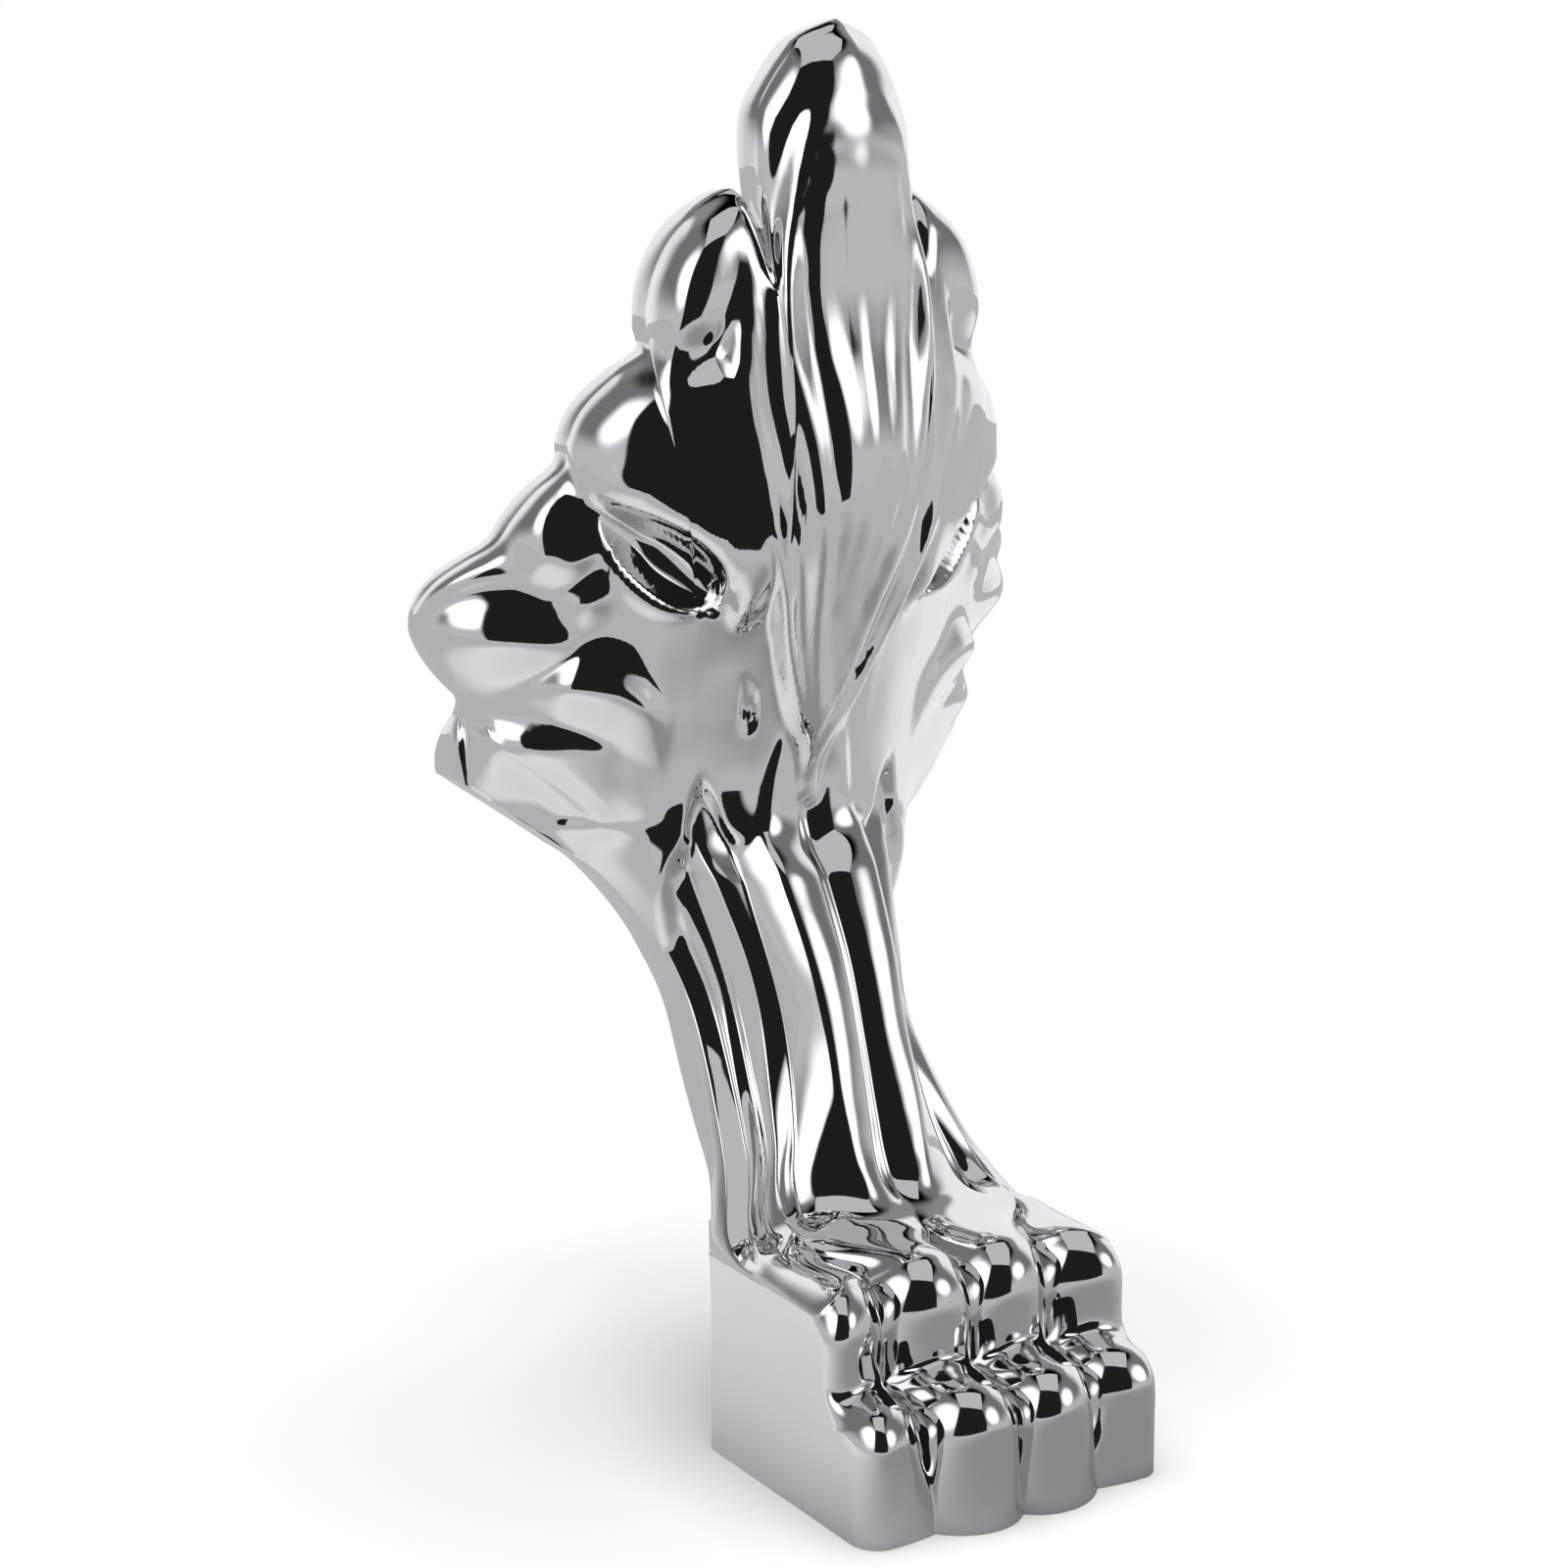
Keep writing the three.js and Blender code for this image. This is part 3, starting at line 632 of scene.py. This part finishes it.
# From that border the casting goes straight back and turns in over a rounded edge
number_of = {place: number for number, place in enumerate(ring)}
edge_steps = 4
edge_turn = np.linspace(0, math.pi / 2, edge_steps + 1)
depths = back_edge * (1 - np.sin(edge_turn))
insets = back_edge * (1 - np.cos(edge_turn))
side_rings = [mix(ring_points, behind(back_edge, 0), 0.5)]
side_rings += [behind(depth, inset) for depth, inset in zip(depths, insets)]
edges = [e for e in bm.edges if e.is_boundary]
for places in side_rings:
    made = bmesh.ops.extrude_edge_only(bm, edges=edges)["geom"]
    for v in (g for g in made if isinstance(g, bmesh.types.BMVert)):
        v.co = places[number_of[v[column_layer], v[row_layer]]] * MM
    edges = [g for g in made if isinstance(g, bmesh.types.BMEdge) and g.is_boundary]

# The back is a coarser sheet, bridged to the rounded edge. Its border is drawn in from the
# skin's by an inset that fades over a few columns and rows
coarse = 4
back_inset = 6
inset_columns = 8
inset_rows = 10
columns = last_column // coarse
lines = last_row // coarse
column = np.arange(columns + 1)
line = np.arange(lines + 1)
back_x = skin[::coarse, ::coarse, 0]
back_z = skin[::coarse, ::coarse, 2].copy()
plain_rows = int(np.searchsorted(rows[::coarse], paw_rows))
for r in range(plain_rows):
    back_z[r] = back_z[plain_rows] * r / plain_rows
rim_x = np.zeros((lines + 1, columns + 1))
rim_z = np.zeros((lines + 1, columns + 1))
for (c, r), (ix, iz) in zip(ring, inward):
    if c % coarse == 0 and r % coarse == 0:
        rim_x[r // coarse, c // coarse] = ix
        rim_z[r // coarse, c // coarse] = iz
fade_c = np.clip(1 - np.minimum(column, columns - column) / inset_columns, 0, 1)[None, :]
fade_r = np.clip(1 - np.minimum(line, lines - line) / inset_rows, 0, 1)[:, None]


def drawn_in(rim):
    """The border's inward direction, spread over the sheet from its sides and its ends."""
    from_side = np.where(column[None, :] < columns / 2, rim[:, :1], rim[:, -1:])
    from_end = np.where(line[:, None] < lines / 2, rim[:1], rim[-1:])
    return from_side * fade_c + (1 - fade_c) * from_end * fade_r


back_x = back_x + back_inset * drawn_in(rim_x)
back_z = back_z + back_inset * drawn_in(rim_z)
made = bmesh.ops.create_grid(bm, x_segments=columns, y_segments=lines, size=1)["verts"]
for v in made:
    c = round((v.co.x + 1) / 2 * columns)
    r = round((v.co.y + 1) / 2 * lines)
    x, z = back_x[r, c], back_z[r, c]
    v.co = Vector((x, float(back_at(x, z)), z)) * MM
back_faces = list({f for v in made for f in v.link_faces})
bmesh.ops.reverse_faces(bm, faces=back_faces)
back_border = [e for e in bm.edges if e.is_boundary and e not in set(edges)]
bmesh.ops.bridge_loops(bm, edges=edges + back_border)

# On the back a flat raised pad is what the tub is bolted against
pad_half_width = 17
pad_height = 40
pad_z = 190
pad_y = 62
pad_edge = 1.2
cuts = [((x, 0, 0), (1, 0, 0)) for x in (-pad_half_width, pad_half_width)]
cuts += [((0, 0, z), (0, 0, 1)) for z in (pad_z - pad_height / 2, pad_z + pad_height / 2)]
for point, normal in cuts:
    point = Vector(point) * MM
    geom = back_faces + list({e for f in back_faces for e in f.edges})
    geom += list({v for f in back_faces for v in f.verts})
    cut = bmesh.ops.bisect_plane(bm, geom=geom, dist=1e-6, plane_co=point, plane_no=normal)
    back_faces = [g for g in cut["geom"] if isinstance(g, bmesh.types.BMFace)]
pad_faces = []
for face in back_faces:
    x, _, z = face.calc_center_median() / MM
    if abs(x) < pad_half_width and abs(z - pad_z) < pad_height / 2:
        pad_faces.append(face)
raised = bmesh.ops.extrude_face_region(bm, geom=pad_faces)["geom"]
bmesh.ops.delete(bm, geom=pad_faces, context="FACES")
pad_faces = [g for g in raised if isinstance(g, bmesh.types.BMFace)]
for v in {v for f in pad_faces for v in f.verts}:
    v.co.y = pad_y * MM
pad_edges = {e for f in pad_faces for e in f.edges}
pad_rim = [e for e in pad_edges if len(set(e.link_faces) & set(pad_faces)) == 1]
bmesh.ops.bevel(
    bm, geom=pad_rim, offset=pad_edge * MM, segments=2, profile=0.5, affect="EDGES", material=-1
)

sharp_angle = 60
bmesh.ops.recalc_face_normals(bm, faces=bm.faces)
foot_mesh = bpy.data.meshes.new("claw_foot_casting")
bm.to_mesh(foot_mesh)
bm.free()
for face in foot_mesh.polygons:
    face.use_smooth = True
foot_mesh.set_sharp_from_angle(angle=math.radians(sharp_angle))
casting = bpy.data.objects.new("claw_foot_casting", foot_mesh)
scene.collection.objects.link(casting)
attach(casting, "root")
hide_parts("claw_foot")


def linear(code):
    """A colour written as sRGB hex, as the linear values a shader takes."""
    values = [int(code[i:i + 2], 16) / 255 for i in (1, 3, 5)]
    return tuple(v / 12.92 if v <= 0.04045 else ((v + 0.055) / 1.055) ** 2.4 for v in values) + (1,)


def node(tree, kind, inputs=(), **settings):
    """Adds a node. Each input is a value, or the node or socket that feeds it."""
    made = tree.nodes.new("ShaderNode" + kind)
    for name, value in settings.items():
        setattr(made, name, value)
    for place, value in inputs.items() if isinstance(inputs, dict) else enumerate(inputs):
        if isinstance(value, bpy.types.Node):
            value = value.outputs[0]
        if isinstance(value, bpy.types.NodeSocket):
            tree.links.new(value, made.inputs[place])
        else:
            made.inputs[place].default_value = value
    return made


# Chrome plating: a thin hard layer over the ground casting, buffed to a mirror. The buffing
# leaves patches of faint haze about 7 mm across, which soften the reflections here and
# there, and low waves about 14 mm long, which bend their edges a little.
chrome_colour = "#e3e4e6"
haze_per_metre = 140
haze_roughness = (0.015, 0.05)
waves_per_metre = 70
wave_depth = 0.3

chrome = bpy.data.materials.new("mirror chrome plating")
chrome.use_nodes = True
plating = chrome.node_tree
shader = plating.nodes["Principled BSDF"]
shader.inputs["Base Color"].default_value = linear(chrome_colour)
shader.inputs["Metallic"].default_value = 1
on_object = node(plating, "TexCoord").outputs["Object"]
haze = node(plating, "TexNoise", {"Vector": on_object, "Scale": haze_per_metre, "Detail": 3})
haze = node(plating, "MapRange", (haze, 0.3, 0.7, *haze_roughness))
plating.links.new(haze.outputs[0], shader.inputs["Roughness"])
waves = node(plating, "TexNoise", {"Vector": on_object, "Scale": waves_per_metre, "Detail": 1})
waves = node(plating, "Bump", {"Strength": 1, "Distance": wave_depth * MM, "Height": waves})
plating.links.new(waves.outputs[0], shader.inputs["Normal"])
foot_mesh.materials.append(chrome)


# Table top: a plain pale board that the foot stands on. Its front edge lies a hand's
# length before the toes, so the leaf shield mirrors the dark room beyond it.
table_front = 265
table_reach = 2500

# The shares of light that the board gives back: white to the camera, and grey in the
# chrome. In the chrome its grey holds a painted shade of the foot before the toes, and painted
# light in round patches, each as its grey, its middle, and how far from there it starts and is full
table_white = 0.98
table_grey = 0.52
shade_grey = 0.3
shade_place = (15, -75, 0)
shade_reach = (35, 170)
painted_light_patches = [(0.3, (-85, 65, 0), 150, 50), (0.4, (430, 200, 0), 330, 140)]

bm = bmesh.new()
table_turn = Matrix.Rotation(math.radians(-camera_turn), 3, "Z")
for v in bmesh.ops.create_grid(bm, x_segments=1, y_segments=1, size=1)["verts"]:
    deep = table_reach if v.co.y > 0 else -table_front
    v.co = table_turn @ Vector((v.co.x * table_reach, deep, 0)) * MM
table_mesh = bpy.data.meshes.new("table_top")
bm.to_mesh(table_mesh)
bm.free()
table = bpy.data.objects.new("table_top", table_mesh)
scene.collection.objects.link(table)

board = bpy.data.materials.new("matt white board")
board.use_nodes = True
paint = board.node_tree
shader = paint.nodes["Principled BSDF"]
shader.inputs["Roughness"].default_value = 1
shader.inputs["Specular IOR Level"].default_value = 0
on_board = node(paint, "TexCoord").outputs["Object"]


def round_patch(middle, reach, greys):
    """A grey that eases from one value to another between two distances from a place."""
    away_from = node(paint, "VectorMath", (on_board, Vector(middle) * MM), operation="DISTANCE")
    limits = (reach[0] * MM, reach[1] * MM, *greys)
    distance = away_from.outputs["Value"]
    return node(paint, "MapRange", (distance, *limits), interpolation_type="SMOOTHSTEP")


# Painted shade of the foot on the board before the toes, seen only in the chrome
grey = round_patch(shade_place, shade_reach, (shade_grey, table_grey))
# Painted light: paler round patches on the board, seen only in the chrome
for painted_light_grey, middle, start, full in painted_light_patches:
    patch = round_patch(middle, (start, full), (0, painted_light_grey))
    grey = node(paint, "Math", (grey, patch), operation="ADD")
to_camera = node(paint, "LightPath").outputs["Is Camera Ray"]
white = (table_white, table_white, table_white, 1)
tone = node(paint, "Mix", {0: to_camera, 6: grey, 7: white}, data_type="RGBA")
paint.links.new(tone.outputs[2], shader.inputs["Base Color"])
table_mesh.materials.append(board)

# Studio: grey walls left and right with a bright lamp before each, a white backdrop behind
# the foot, a pale panel overhead, and the dark room behind the camera. A foot or a top is
# how squarely up one looks there, and a start how squarely away from the camera: -1 to 1.
dark_room = 0.015
wall_greys = (0.2, 0.6)
wall_foot = (0.32, -0.05)
wall_top = (0.9, 0.8)
wall_start = (-0.84, -0.8)
# Each lamp's direction as shares away from the camera, to its right and up, how many
# degrees it reaches, and how bright it is
lamps = [((-0.64, -0.77, 0.47), 31, 1.8), ((-0.5, 0.87, 0.47), 28, 1.8)]
backdrop_greys = (0.3, 1)
backdrop_start = (0.3, 0.7)
backdrop_bright = (0.72, 0.62)
backdrop_top = (0.95, 0.8)
panel_lean = -0.27
panel_half = (0.42, 0.4)
panel_blur = 0.02
panel_grey = 0.6

world = bpy.data.worlds.new("studio")
scene.world = world
world.use_nodes = True
room = world.node_tree
room.nodes.clear()
away = Vector((math.sin(math.radians(camera_turn)), math.cos(math.radians(camera_turn)), 0))
right = Vector((away.y, -away.x, 0))
up = Vector((0, 0, 1))
look = node(room, "TexCoord").outputs["Generated"]
ease = {"interpolation_type": "SMOOTHSTEP"}


def faced(direction):
    """How squarely one looks along a direction, from -1 to 1."""
    return node(room, "VectorMath", (look, direction), operation="DOT_PRODUCT").outputs["Value"]


def lamp_glow(base, direction, reach, bright):
    """Adds a round glow that falls off over a reach, in degrees."""
    ends = (math.cos(math.radians(reach)), 1)
    glow = node(room, "MapRange", (faced(direction.normalized()), *ends), **ease)
    glow = node(room, "Math", (glow, glow), operation="MULTIPLY")
    return node(room, "Math", (glow, bright, base), operation="MULTIPLY_ADD")


def overhead_panel(base, direction):
    """Lays the flat panel over the room, square to a direction."""
    direction = direction.normalized()
    sideways = direction.cross(away).normalized()
    upward = sideways.cross(direction)
    ahead = node(room, "Math", (faced(direction), 0.01), operation="MAXIMUM")
    mask = node(room, "Math", (faced(direction), 0.05), operation="GREATER_THAN")
    for side, half in zip((sideways, upward), panel_half):
        off = node(room, "Math", (faced(side), ahead), operation="DIVIDE")
        off = node(room, "Math", (off,), operation="ABSOLUTE")
        inside = node(room, "MapRange", (off, half + panel_blur, half), **ease)
        mask = node(room, "Math", (mask, inside), operation="MULTIPLY")
    return node(room, "Mix", {0: mask, 2: base, 3: panel_grey})


# How far round one looks from the camera's back to its front, whatever the height
raised = faced(up)
level = node(room, "Math", (raised, raised), operation="MULTIPLY")
level = node(room, "Math", (1, level), operation="SUBTRACT")
level = node(room, "Math", (level, 0.0001), operation="MAXIMUM")
level = node(room, "Math", (level,), operation="SQRT")
turned = node(room, "Math", (faced(away), level), operation="DIVIDE")

wall = node(room, "MapRange", (raised, *wall_foot, *wall_greys), **ease)
for (lamp_away, lamp_right, lamp_up), reach, bright in lamps:
    wall = lamp_glow(wall, lamp_away * away + lamp_right * right + lamp_up * up, reach, bright)
below_top = node(room, "MapRange", (raised, *wall_top), **ease)
wall = node(room, "Math", (wall, below_top), operation="MULTIPLY")
light = node(room, "MapRange", (turned, *wall_start, dark_room, wall), **ease)
below_top = node(room, "MapRange", (raised, *backdrop_top), **ease)
backdrop = node(room, "MapRange", (turned, *backdrop_start), **ease)
backdrop = node(room, "Math", (backdrop, below_top), operation="MULTIPLY")
white = node(room, "MapRange", (raised, *backdrop_bright, *backdrop_greys), **ease)
light = node(room, "Mix", {0: backdrop, 2: light, 3: white})

# Only the chrome mirrors the walls and the backdrop. The panel shines on everything, and
# the camera sees plain white
rays = node(room, "LightPath")
mirrored = (rays.outputs["Is Glossy Ray"], rays.outputs["Is Transmission Ray"])
mirrored = node(room, "Math", mirrored, operation="MAXIMUM")
light = node(room, "Math", (light, mirrored), operation="MULTIPLY")
light = overhead_panel(light, up + panel_lean * away)
light = node(room, "Mix", {0: rays.outputs["Is Camera Ray"], 2: light, 3: 1})
glow = node(room, "Background", ((1, 1, 1, 1), light))
node(room, "OutputWorld", (glow,))

# Overhead light: soft and even, only for the table top and the foot's shadow on it
overhead_strength = 3
overhead_angle = 60
lamp_data = bpy.data.lights.new("overhead", "SUN")
lamp_data.energy = overhead_strength
lamp_data.angle = math.radians(overhead_angle)
lamp = bpy.data.objects.new("overhead", lamp_data)
lamp.visible_glossy = False
scene.collection.objects.link(lamp)
